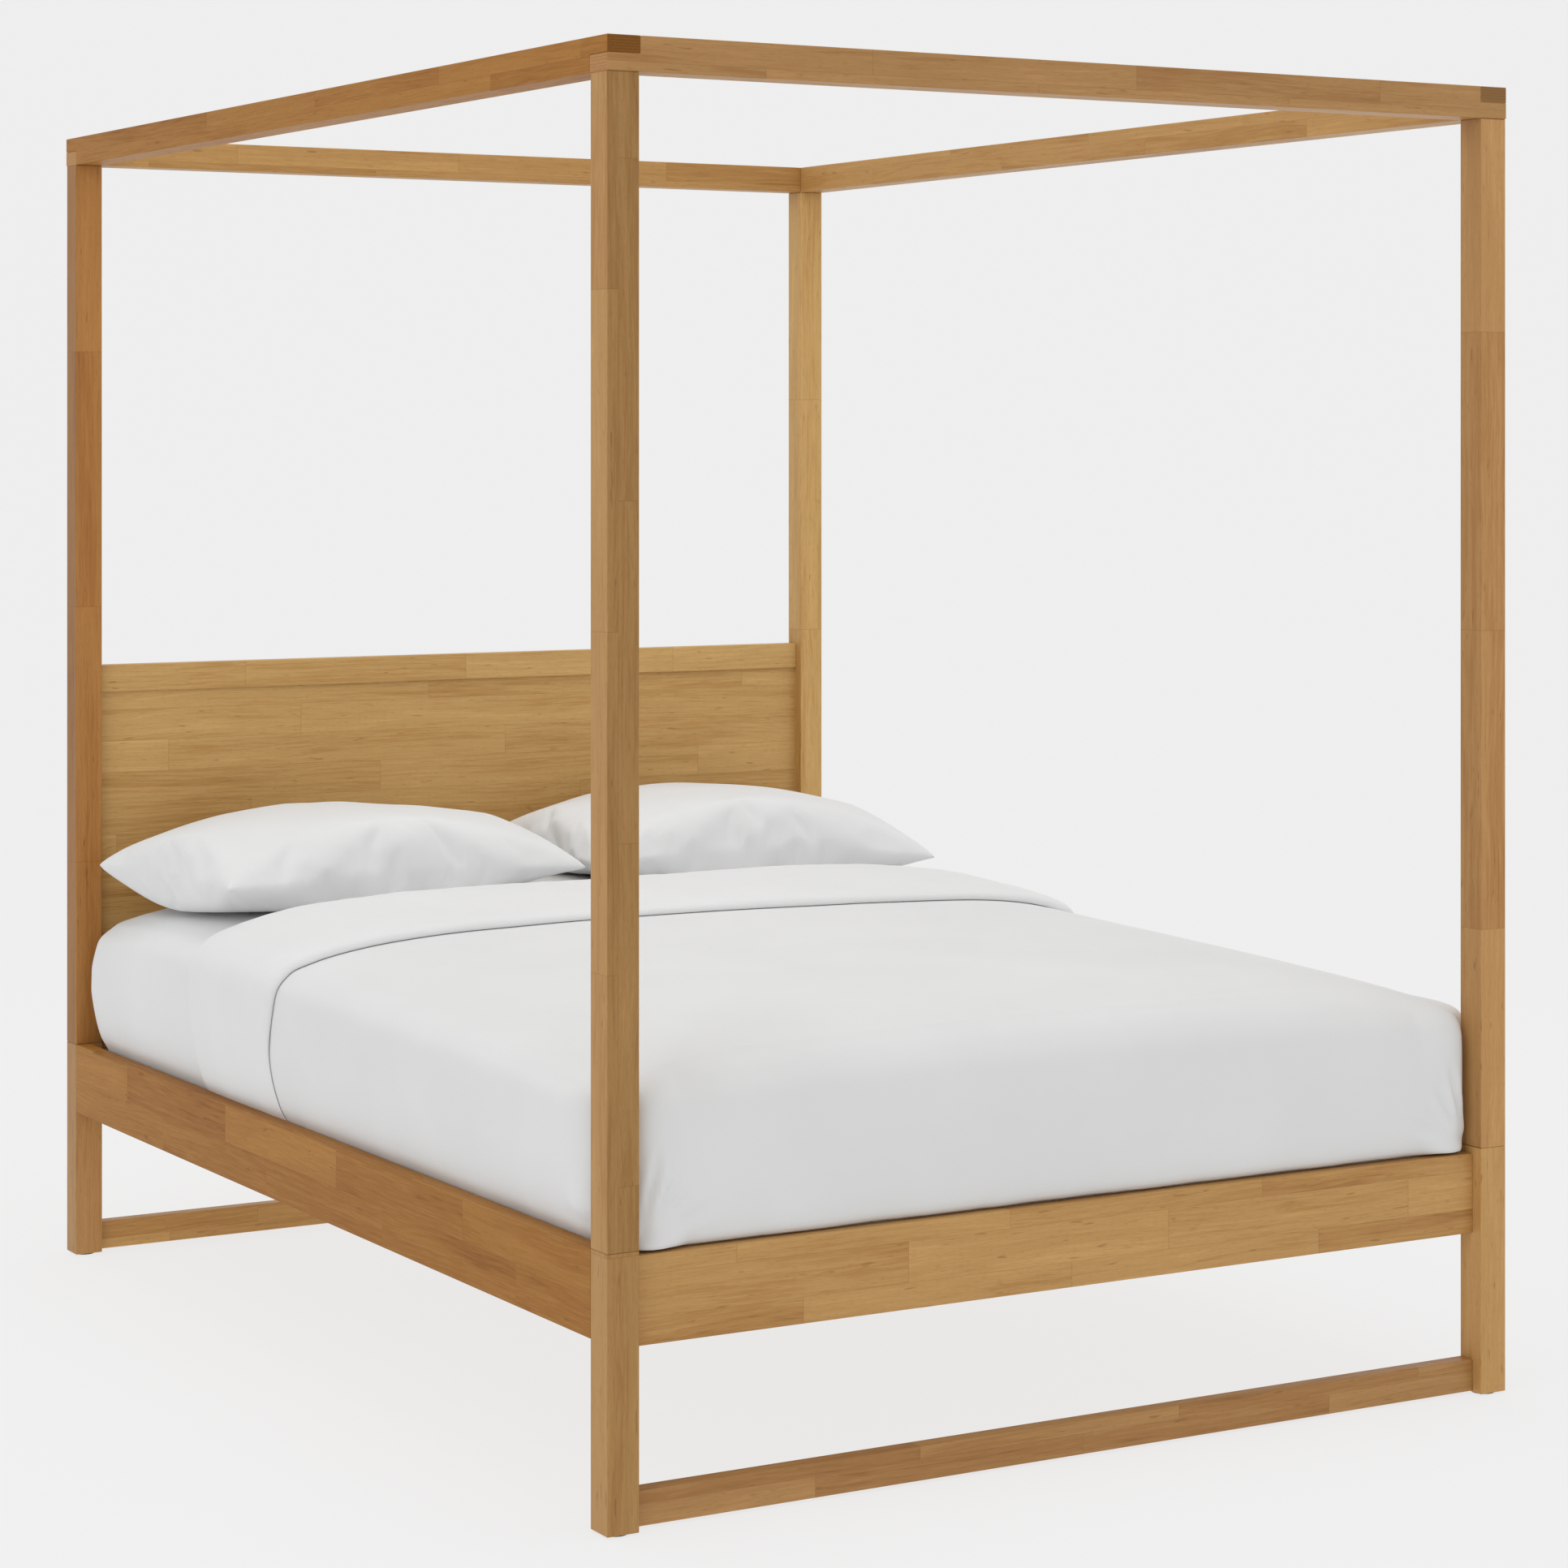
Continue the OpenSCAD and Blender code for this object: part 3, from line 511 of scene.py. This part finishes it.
def bed_form(fine=20, coarse=120, wall=50, closed=False):
    """The made-up bed's surface: a grid over its top and rings down its walls to the tuck, or on
    round the underside if closed."""
    xs = grid_lines(-TOP_W, TOP_W, 0.065, fine, coarse)
    ys = grid_lines(-TOP_FOOT, TOP_HEAD, 0.06, fine, int(coarse * 1.25))
    nx, ny = len(xs), len(ys)
    gx, gy = np.meshgrid(xs, ys)
    top = np.column_stack([gx.ravel(), gy.ravel(), top_height(gx, gy).ravel()])
    faces = grid_faces(ny, nx, False)
    edge = ([j * nx for j in range(ny - 1, 0, -1)] + list(range(nx - 1))
            + [j * nx + nx - 1 for j in range(ny - 1)]
            + [(ny - 1) * nx + i for i in range(nx - 1, 0, -1)])
    inner = top[edge]
    outer, share, q = zip(*(outer_point(x, y) for x, y, _ in inner))
    outer, share, q = np.array(outer), np.array(share)[:, None], np.array(q)[:, None]
    square_top = smoothstep(q / 0.35) * smoothstep((1 - q) / 0.35) * (q > 0)
    square_low = smoothstep((q - 0.38) / 0.12) * smoothstep((1 - q) / 0.3)
    side, foot = curve_through(SIDE_PROFILE, wall), curve_through(FOOT_PROFILE, wall)
    verts, last, n = [top], np.array(edge), len(edge)
    for k in range(1, wall):
        part = (side[k, 0] / side[0, 0]) * (1 - share) + (foot[k, 0] / foot[0, 0]) * share
        drop = [(p[k, 1] - TUCK) / (p[0, 1] - TUCK) for p in (side, foot)]
        level = drop[0] * (1 - share) + drop[1] * share
        square = square_low * smoothstep((level + 0.005) / 0.03)
        square = square + (square_top - square_low) * smoothstep((level - 0.15) / 0.25)
        round_head = 0.34 * smoothstep((inner[:, 1:2] - 0.5) / 0.4) * smoothstep((level - 0.45) / 0.3)
        lean = 0.012 * (square_top * (1 - part) * np.clip(level, 0, 1))[:, 0]
        part = np.clip(part, 0, 1) ** (1 + 1.6 * np.clip(square, 0, 1) - round_head)
        z = TUCK + level[:, 0] * np.where(level[:, 0] > 0, inner[:, 2] - TUCK, 0.268) - lean
        verts.append(np.column_stack([outer + (inner[:, :2] - outer) * part, z]))
        ring = sum(len(v) for v in verts[:-1]) + np.arange(n)
        faces += [(last[i], last[(i + 1) % n], ring[(i + 1) % n], ring[i]) for i in range(n)]
        last = ring
    if closed:
        for inset, z in ((0.034, 0.322), (0.042, 0.3125), (0.056, UNDERSIDE)):
            verts.append(np.column_stack([outer + (inner[:, :2] - outer) * inset / 0.08,
                                          np.full(n, z)]))
            ring = sum(len(v) for v in verts[:-1]) + np.arange(n)
            faces += [(last[i], last[(i + 1) % n], ring[(i + 1) % n], ring[i]) for i in range(n)]
            last = ring
        start = sum(len(v) for v in verts)
        verts.append(top * (1, 1, 0) + (0, 0, UNDERSIDE))
        faces += [tuple(start + i for i in f[::-1]) for f in grid_faces(ny, nx, False)]
        faces += [(last[i], last[(i + 1) % n], start + edge[(i + 1) % n], start + edge[i])
                  for i in range(n)]
    return np.vstack(verts), faces


def make_object(name, verts, faces):
    mesh = bpy.data.meshes.new(name)
    mesh.from_pydata([tuple(v) for v in verts], [], [tuple(int(i) for i in f) for f in faces])
    ob = bpy.data.objects.new(name, mesh)
    SCENE.collection.objects.link(ob)
    bm = bmesh.new()
    bm.from_mesh(mesh)
    bmesh.ops.recalc_face_normals(bm, faces=bm.faces)
    bm.to_mesh(mesh)
    bm.free()
    mesh.polygons.foreach_set("use_smooth", [True] * len(mesh.polygons))
    return ob


def grid_faces(rows, cols, wrap):
    faces = []
    for i in range(rows - 1):
        for j in range(cols if wrap else cols - 1):
            k = (j + 1) % cols
            faces.append((i * cols + j, i * cols + k, (i + 1) * cols + k, (i + 1) * cols + j))
    return faces


def arrays(ob):
    """Vertex places and normals of a mesh object, as arrays."""
    mesh = ob.data
    co = np.zeros(len(mesh.vertices) * 3)
    mesh.vertices.foreach_get("co", co)
    nr = np.array([v.vector[:] for v in mesh.vertex_normals])
    return co.reshape(-1, 3), nr


def set_places(ob, co):
    ob.data.vertices.foreach_set("co", co.astype(np.float32).ravel())
    ob.data.update()


def waves(co, scale, seed):
    """Smooth noise at each point, from about -1 to 1."""
    return np.array([noise.noise(Vector(p)) for p in co * scale + seed])


def crease(co, a, b, width, depth, fade=0.35):
    """A soft groove of the given width along the segment from a to b, dying out at its ends."""
    a, b = np.array(a, float), np.array(b, float)
    t = np.clip(((co - a) @ (b - a)) / ((b - a) @ (b - a)), -0.2, 1.2)
    d = np.linalg.norm(co - (a + t[:, None] * (b - a)), axis=1) / width
    groove = np.exp(-d ** 2) - 0.55 * np.exp(-((d - 1.9) / 0.9) ** 2)
    return -depth * groove * smoothstep(np.minimum(t, 1 - t) / fade)


def by_post(co):
    """1 away from the foot posts, falling to 0 beside them."""
    gap = np.hypot(np.abs(co[:, 0]) - 0.750, co[:, 1] + 1.025)
    return smoothstep((gap - 0.010) / 0.050)


def bed_waves(co):
    """The coverlet's gentle unevenness, which the layers over and under it share."""
    x, y, z = co.T
    wall = smoothstep((0.60 - z) / 0.20)
    d = 0.0018 * waves(co, 2.3, 11) + 0.0006 * waves(co, 7.0, 13)
    d += 0.0012 * wall * waves(co * (1, 1, 0.15), 15.0, 17)
    d += 0.0005 * wall * waves(co * (1, 1, 0.2), 38.0, 19)
    return d * by_post(co)


def cut(ob, y):
    """Keeps the part of a mesh on the foot's side of a plane across the bed."""
    bm = bmesh.new()
    bm.from_mesh(ob.data)
    bmesh.ops.bisect_plane(bm, geom=bm.verts[:] + bm.edges[:] + bm.faces[:],
                           plane_co=(0, y, 0), plane_no=(0, 1, 0), clear_outer=True)
    bm.to_mesh(ob.data)
    bm.free()
    ob.data.polygons.foreach_set("use_smooth", [True] * len(ob.data.polygons))


def thicken(ob, thickness):
    mod = ob.modifiers.new("thickness", "SOLIDIFY")
    mod.thickness = thickness
    mod.offset = -1.0
    mod.use_even_offset = False


def finish_piece(ob, body, material, nodes=()):
    ob.data.materials.clear()
    ob.data.materials.append(material)
    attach(ob, body)
    if nodes:
        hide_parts(*nodes)


def shell(name, inset, **form):
    """The bed's surface as a mesh, with its places set in by inset and its outward normals."""
    ob = make_object(name, *bed_form(**form))
    co, nr = arrays(ob)
    if nr[np.argmax(co[:, 2]), 2] < 0:
        ob.data.flip_normals()
        nr = -nr
    return ob, co - nr * inset, nr


def make_mattress(ticking, tape):
    ob, co, nr = shell("mattress_body", 0.008, fine=8, coarse=40, wall=28, closed=True)
    co[:, 2] = np.maximum(co[:, 2], UNDERSIDE)
    set_places(ob, co)
    finish_piece(ob, MATTRESS_BODY, ticking, ["mattress"])
    # taped edge round the underside
    path = HEAD_CORNER[::-1] + [(-x, y) for x, y in HEAD_CORNER]
    path += [(-x, y) for x, y in FOOT_CORNER] + FOOT_CORNER[::-1]
    curve = bpy.data.curves.new("mattress_tape", "CURVE")
    curve.dimensions = "3D"
    curve.bevel_depth = 0.004
    curve.bevel_resolution = 2
    line = curve.splines.new("POLY")
    line.points.add(len(path) - 1)
    for point, (x, y) in zip(line.points, path):
        point.co = (x * 0.952, y * 0.960, 0.3165, 1)
    line.use_cyclic_u = True
    ring = bpy.data.objects.new("mattress_tape", curve)
    SCENE.collection.objects.link(ring)
    finish_piece(ring, MATTRESS_BODY, tape)


def make_fitted_sheet(material):
    ob, co, nr = shell("fitted_sheet_cloth", 0.003)
    y, z = co[:, 1], co[:, 2]
    own = 0.0012 * waves(co, 4.0, 31) + 0.0006 * waves(co, 13.0, 37)
    low = smoothstep((0.60 - z) / 0.22)
    own += 0.0012 * low * waves(co * (1, 1, 0.12), 26.0, 41)
    own += 0.0012 * smoothstep((y - 0.55) / 0.4) * waves(co * (1, 0.5, 1), 18.0, 43)
    for k in range(6):
        at = 0.62 + 0.06 * k
        own += crease(co, (-0.79, at, 0.40), (-0.70, at + 0.05, 0.645), 0.010, 0.0013)
    share = smoothstep((y - 0.40) / 0.10)
    d = bed_waves(co) * (1 - share) + own * share
    set_places(ob, co + nr * d[:, None])
    thicken(ob, 0.0015)
    finish_piece(ob, MATTRESS_BODY, material, ["fitted_sheet"])


def make_coverlet(material):
    ob, co, nr = shell("coverlet_cloth", 0.0)
    d = bed_waves(co)
    for s in (-1, 1):
        for k in range(4):
            # folds that fan out from where the coverlet is tucked in beside the post
            run = 0.030 + 0.030 * k
            d += crease(co, (s * 0.735, -1.046, 0.388 + 0.003 * k),
                        (s * (0.735 - run), -1.055, 0.530 - 0.030 * k), 0.0060 + 0.001 * k,
                        0.0042 - 0.0006 * k, 0.28)
        d += crease(co, (s * 0.775, -0.985, 0.40), (s * 0.735, -1.000, 0.585), 0.014, 0.0030)
        d += crease(co, (s * 0.79, -0.93, 0.40), (s * 0.72, -0.97, 0.62), 0.016, 0.0018)
    d += crease(co, (-0.55, -1.055, 0.39), (-0.50, -1.055, 0.50), 0.018, 0.0012)
    d += crease(co, (0.30, -1.055, 0.39), (0.34, -1.055, 0.52), 0.022, 0.0012)
    set_places(ob, co + nr * d[:, None])
    cut(ob, 0.37)
    thicken(ob, 0.0025)
    finish_piece(ob, MATTRESS_BODY, material, ["coverlet"])


def cross_section(count):
    """The bedding's section across the bed from one tuck to the other, and its normals."""
    wall = curve_through(SIDE_PROFILE, 60)
    right_wall = np.column_stack([HALF_W - wall[:, 0], wall[:, 1]])
    x = TOP_W * np.linspace(0, 1, 90)[:-1]
    right = np.vstack([np.column_stack([x, top_height(x, 0.2)]), right_wall])
    left = right[:0:-1] * (-1, 1)
    line = np.vstack([left, right])
    run = np.concatenate([[0], np.cumsum(np.linalg.norm(np.diff(line, axis=0), axis=1))])
    at = np.linspace(0, run[-1], count)
    p = np.stack([np.interp(at, run, line[:, i]) for i in (0, 1)], axis=1)
    d = np.gradient(p, axis=0)
    n = np.column_stack([-d[:, 1], d[:, 0]])
    return p, n / np.linalg.norm(n, axis=1)[:, None], at - run[-1] / 2


def make_cuff(material):
    """The bedding folded back towards the foot: a band that rolls under at both its edges."""
    p, n, across = cross_section(420)
    fold = curve_through([(0.215, 0.0010), (0.105, 0.0009), (0.030, 0.0009), (0.0100, 0.0010),
                          (0.0078, 0.0032), (0.0082, 0.0085), (0.0135, 0.0142), (0.030, 0.0193),
                          (0.062, 0.0232), (0.120, 0.0265), (0.200, 0.0300), (0.270, 0.0330),
                          (0.318, 0.0325), (0.350, 0.0270), (0.364, 0.0170), (0.362, 0.0070),
                          (0.346, 0.0005), (0.320, -0.0010), (0.296, 0.0008), (0.250, 0.0012)], 160)
    # the band is pressed thin down the walls, and its front edge wanders across the bed
    taper = 0.12 + 0.88 * smoothstep((p[:, 1] - 0.385) / 0.26)
    front = 0.088 - 0.042 * np.exp(-((across - 0.42) / 0.26) ** 2)
    front += 0.026 * np.exp(-((np.abs(across) - 0.93) / 0.10) ** 2)
    verts, lifts = [], []
    for y, h in fold:
        pull = smoothstep((0.30 - y) / 0.20)
        lift = np.where(h > 0.0012, 0.0012 + (h - 0.0012) * taper, h)
        verts.append(np.column_stack([p[:, 0], 0.080 + y + (front - 0.080) * pull, p[:, 1]]))
        lifts.append(lift)
    base, lift = np.vstack(verts), np.concatenate(lifts)
    up = np.tile(np.column_stack([n[:, 0], np.zeros(len(n)), n[:, 1]]), (len(fold), 1))
    loose = smoothstep((lift - 0.006) / 0.012)
    d = 0.0022 * waves(base * (1, 0.6, 1), 5.0, 51) + 0.0010 * waves(base * (0.5, 1.6, 0.5), 15.0, 53)
    d += 0.0007 * waves(base * (1, 0.5, 1), 32.0, 57)
    shoulder = np.clip(1 - np.abs(base[:, 2] - 0.60) / 0.09, 0, 1)
    d += 0.0016 * shoulder * waves(base * (0.7, 1, 0.7), 22.0, 59)
    co = base + up * (lift + bed_waves(base) + d * loose)[:, None]
    ob = make_object("cuff_cloth", co, grid_faces(len(fold), len(p), False))
    thicken(ob, 0.0008)
    finish_piece(ob, MATTRESS_BODY, material, ["flat_sheet_cuff"])


# ---------------------------------------------------------------- pillows

CASE_W, CASE_D = 0.775, 0.515   # a queen pillowcase, lying flat
PUFF = 0.100                    # height of a pillow's top over its seam


def flat_case(name, w, d, step, seed):
    """A pillowcase lying flat: two layers of cloth joined at the rim."""
    nx, ny = int(round(w / step)), int(round(d / step))
    verts, faces, index = [], [], {}
    for s in (1, -1):
        for j in range(ny + 1):
            for i in range(nx + 1):
                rim = i in (0, nx) or j in (0, ny)
                if rim and s == -1:
                    index[s, i, j] = index[1, i, j]
                    continue
                x, y = (i / nx - 0.5) * w, (j / ny - 0.5) * d
                u, v = abs(2 * x / w), abs(2 * y / d)
                z = 0.0
                if not rim:
                    puff = 0.025 * ((1 - u ** 3) * (1 - v ** 3)) ** 0.6
                    z = s * (puff + 0.0015) + 0.004 * noise.noise(Vector((x * 9, y * 9, seed + s)))
                index[s, i, j] = len(verts)
                verts.append((x, y, z))
    for s in (1, -1):
        for j in range(ny):
            for i in range(nx):
                f = (index[s, i, j], index[s, i + 1, j], index[s, i + 1, j + 1], index[s, i, j + 1])
                faces.append(f if s == 1 else f[::-1])
    mesh = bpy.data.meshes.new(name)
    mesh.from_pydata(verts, [], faces)
    ob = bpy.data.objects.new(name, mesh)
    SCENE.collection.objects.link(ob)
    return ob


def inflate(ob, frames, pressure):
    """Fills the case like a pillow by cloth simulation, and leaves the result in its mesh."""
    mod = ob.modifiers.new("fill", "CLOTH")
    cloth_settings = mod.settings
    cloth_settings.quality = 5
    cloth_settings.mass = 0.3
    cloth_settings.tension_stiffness = 20
    cloth_settings.compression_stiffness = 20
    cloth_settings.shear_stiffness = 7
    cloth_settings.bending_stiffness = 0.8
    cloth_settings.use_pressure = True
    cloth_settings.uniform_pressure_force = pressure
    cloth_settings.effector_weights.gravity = 0
    mod.collision_settings.use_collision = False
    mod.point_cache.frame_start = 1
    mod.point_cache.frame_end = frames + 1
    for f in range(1, frames + 1):
        SCENE.frame_set(f)
    made = bpy.data.meshes.new_from_object(ob.evaluated_get(bpy.context.evaluated_depsgraph_get()))
    ob.modifiers.remove(mod)
    old = ob.data
    ob.data = made
    bpy.data.meshes.remove(old)
    SCENE.frame_set(1)


def make_pillow(side, material, seed, tilt):
    """The left (-1) or right (1) pillow in its case. tilt is how far its seam droops at the left
    and right ends, in metres."""
    word = "left" if side < 0 else "right"
    ob = flat_case("pillowcase_" + word + "_cloth", CASE_W, CASE_D, 0.008, seed)
    inflate(ob, 22, 1.7)
    bm = bmesh.new()
    bm.from_mesh(ob.data)
    middle = [v for v in bm.verts if abs(v.co.x) < 0.27 and abs(v.co.y) < 0.17]
    for _ in range(14):
        bmesh.ops.smooth_vert(bm, verts=middle, factor=0.5, use_axis_z=True)
    bm.to_mesh(ob.data)
    bm.free()
    co, _ = arrays(ob)
    co -= (co.max(0) + co.min(0)) / 2
    co[:, 0] *= 0.975
    case_low, case_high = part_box("pillowcase_" + word)
    centre = (np.array(case_low) + np.array(case_high)) / 2
    turn = math.radians(6 if side < 0 else 0)
    c, s = math.cos(turn), math.sin(turn)
    x = co[:, 0] * c - co[:, 1] * s + centre[0]
    y = co[:, 0] * s + co[:, 1] * c + centre[1]
    # the upper half rises over the seam, and the lower half lies flat on the bed
    u = co[:, 0] / 0.38
    seam = 0.730 - 0.006 * u ** 2
    seam = seam - tilt[0] * np.clip(-u, 0, 1.1) ** 2 - tilt[1] * np.clip(u, 0, 1.1) ** 2
    bed = top_height(np.clip(x, -TOP_W, TOP_W), y) - 0.0015
    high, deep = co[:, 2].max(), -co[:, 2].min()
    full = 0.25 + 3.2 * (1 - np.clip(np.abs(u), 0, 1) ** 1.5)
    sunk = np.tanh(full * np.clip(-co[:, 2], 0, None) / deep) / np.tanh(full)
    z = np.where(co[:, 2] > 0, seam + co[:, 2] * PUFF / high, seam + (bed - seam) * sunk)
    set_places(ob, np.column_stack([x, y, z]))
    ob.data.polygons.foreach_set("use_smooth", [True] * len(ob.data.polygons))
    smooth = ob.modifiers.new("smooth", "SUBSURF")
    smooth.levels = 1
    smooth.render_levels = 1
    finish_piece(ob, word + "_pillow", material,
                 ["pillow_" + word, "pillowcase_" + word])


# ---------------------------------------------------------------- stage

COVE_START, COVE_RADIUS, COVE_STEPS = 6.0, 4.0, 12
LAMP_SIZE = 3.5


def make_stage():
    """Paper laid on the floor, which curves up behind the bed as the camera sees it."""
    profile = [(-9.0, 0.0), (COVE_START, 0.0)]
    for k in range(1, COVE_STEPS + 1):
        a = math.pi / 2 * k / COVE_STEPS
        profile.append((COVE_START + COVE_RADIUS * math.sin(a), COVE_RADIUS - COVE_RADIUS * math.cos(a)))
    profile.append((COVE_START + COVE_RADIUS, 9.0))
    turn = Matrix.Rotation(CAMERA_TURN, 3, "Z")
    verts, faces = [], []
    for d, z in profile:
        for x in (-14.0, 14.0):
            p = turn @ Vector((x, d, z))
            verts.append((p.x, p.y, z))
    for k in range(len(profile) - 1):
        faces.append((2 * k, 2 * k + 1, 2 * k + 3, 2 * k + 2))
    floor = make_object("studio_floor", verts, faces)
    s = Shader("studio_paper")
    s.put(s.bsdf.inputs["Base Color"], (0.13, 0.13, 0.13))
    s.put(s.bsdf.inputs["Roughness"], 0.95)
    s.put(s.bsdf.inputs["Specular IOR Level"], 0.0)
    s.put(s.bsdf.inputs["Emission Color"], (1.0, 1.0, 1.0))
    s.put(s.bsdf.inputs["Emission Strength"], 0.755)
    floor.data.materials.append(s.mat)


def add_light(name, place, target_height, energy):
    """A soft round lamp aimed at a point above the middle of the bed."""
    data = bpy.data.lights.new(name, "AREA")
    data.shape = "DISK"
    data.size = LAMP_SIZE
    data.energy = energy
    ob = bpy.data.objects.new(name, data)
    ob.location = place
    aim = Vector((0, 0, target_height)) - Vector(place)
    ob.rotation_euler = aim.to_track_quat("-Z", "Y").to_euler()
    ob.visible_camera = False
    SCENE.collection.objects.link(ob)


def make_light():
    world = bpy.data.worlds.new("studio")
    world.use_nodes = True
    sky = world.node_tree.nodes["Background"]
    sky.inputs[0].default_value = (1.0, 1.0, 0.995, 1)
    sky.inputs[1].default_value = 0.72
    SCENE.world = world
    add_light("key", (-4.5, -2.5, 4.5), 0.6, 48)
    add_light("fill", (3.5, -5.5, 3.0), 0.6, 15)
    add_light("top", (0.0, 0.3, 5.0), 0.4, 48)
    SCENE.view_settings.view_transform = "Standard"
    SCENE.view_settings.look = "None"
    SCENE.view_settings.exposure = 0.0


make_camera()
make_stage()
make_light()
dress_hard_parts()
white = linear(232, 233, 233)
sheet_cloth = cloth("sheet_percale", white)
coverlet_cotton = cloth("coverlet_percale", scaled(white, 0.97))
make_mattress(quilt("ticking", linear(226, 226, 222)), cloth("tape", linear(214, 214, 210), sheen=0.1))
make_fitted_sheet(sheet_cloth)
make_coverlet(coverlet_cotton)
make_cuff(sheet_cloth)
make_pillow(-1, sheet_cloth, 3, (-0.003, 0.008))
make_pillow(1, sheet_cloth, 8, (0.0, 0.030))
